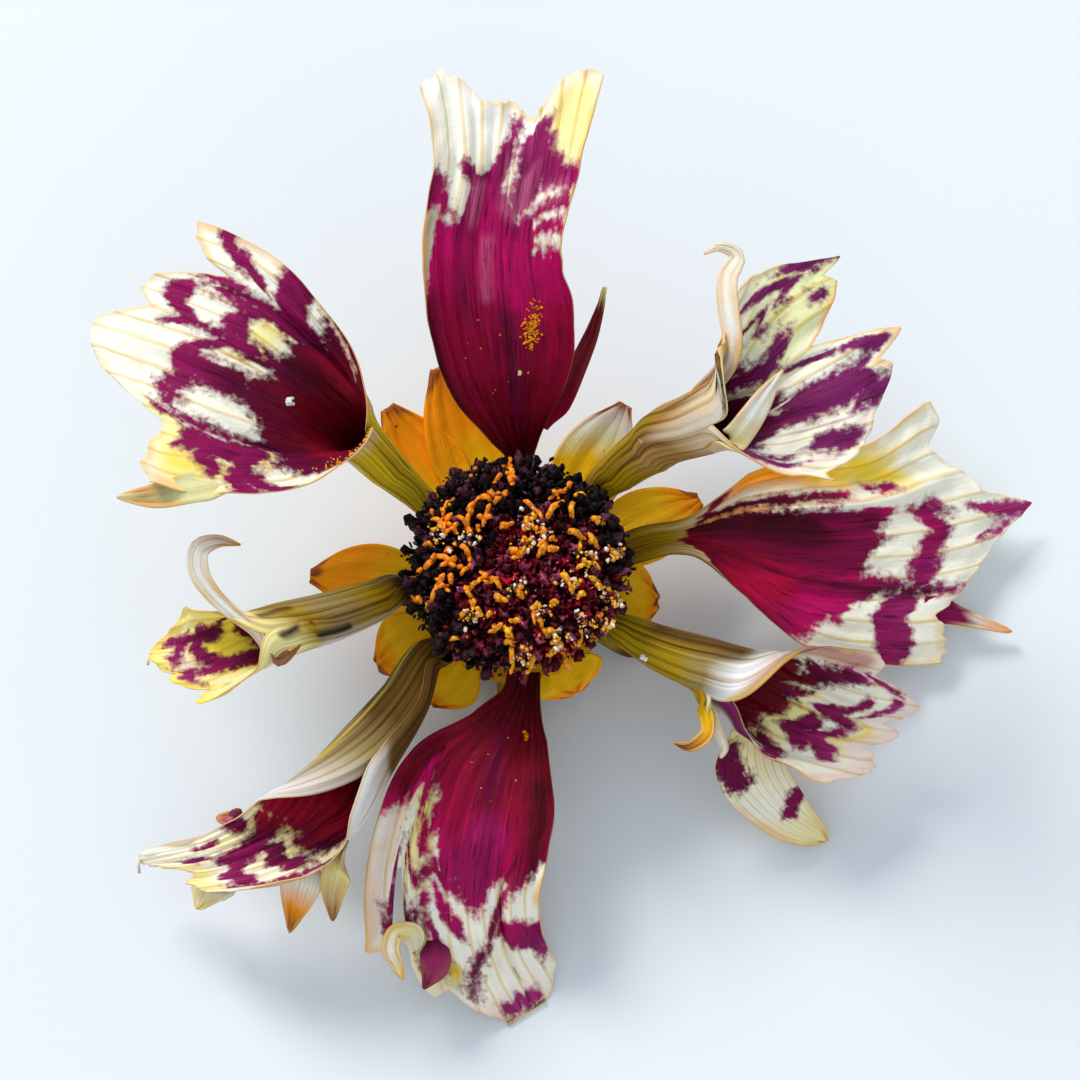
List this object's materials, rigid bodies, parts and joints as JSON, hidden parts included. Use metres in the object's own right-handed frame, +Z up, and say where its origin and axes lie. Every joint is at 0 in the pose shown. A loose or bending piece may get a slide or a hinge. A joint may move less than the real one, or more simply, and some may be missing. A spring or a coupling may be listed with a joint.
{
  "type": "dried coreopsis flower",
  "caption": "Dried coreopsis flower head with a dark domed disc, curled and rolled petals blotched maroon on cream, and papery orange bracts, lying face up.",
  "frame": {"origin": "centre of the bounding box at table level", "axes": "+Z up along the head's axis, away from the table; -Y towards the side that the picture was taken from"},
  "size_m": [0.0404, 0.038, 0.0175],
  "materials": {
    "receptacle": "matte dried green stem tissue",
    "outer_bracts": "matte dried green-brown bract",
    "inner_bracts": "dry papery orange bract with brown tips",
    "disc_florets": "dry crumbly dark maroon florets with orange-yellow styles",
    "petal_north": "dry papery maroon petal, cream at the torn end",
    "petal_northeast": "dry papery cream and maroon flare on an olive tube",
    "petal_east": "dry papery maroon fan with cream streaks",
    "petal_southeast": "dry papery cream and maroon flare on an olive tube",
    "petal_south": "dry papery maroon petal, cream lobes",
    "petal_southwest": "dry papery grey-olive tube, maroon and cream flare",
    "petal_west": "dry papery olive tube, yellow and maroon mouth",
    "petal_northwest": "dry papery maroon and cream blotched fan"
  },
  "bodies": {
    "root": {"receptacle": "receptacle", "outer_bracts": "outer_bracts", "inner_bracts": "inner_bracts", "disc_florets": "disc_florets", "petal_north": "petal_north", "petal_northeast": "petal_northeast", "petal_east": "petal_east", "petal_southeast": "petal_southeast", "petal_south": "petal_south", "petal_southwest": "petal_southwest", "petal_west": "petal_west", "petal_northwest": "petal_northwest"}
  },
  "joints": []
}
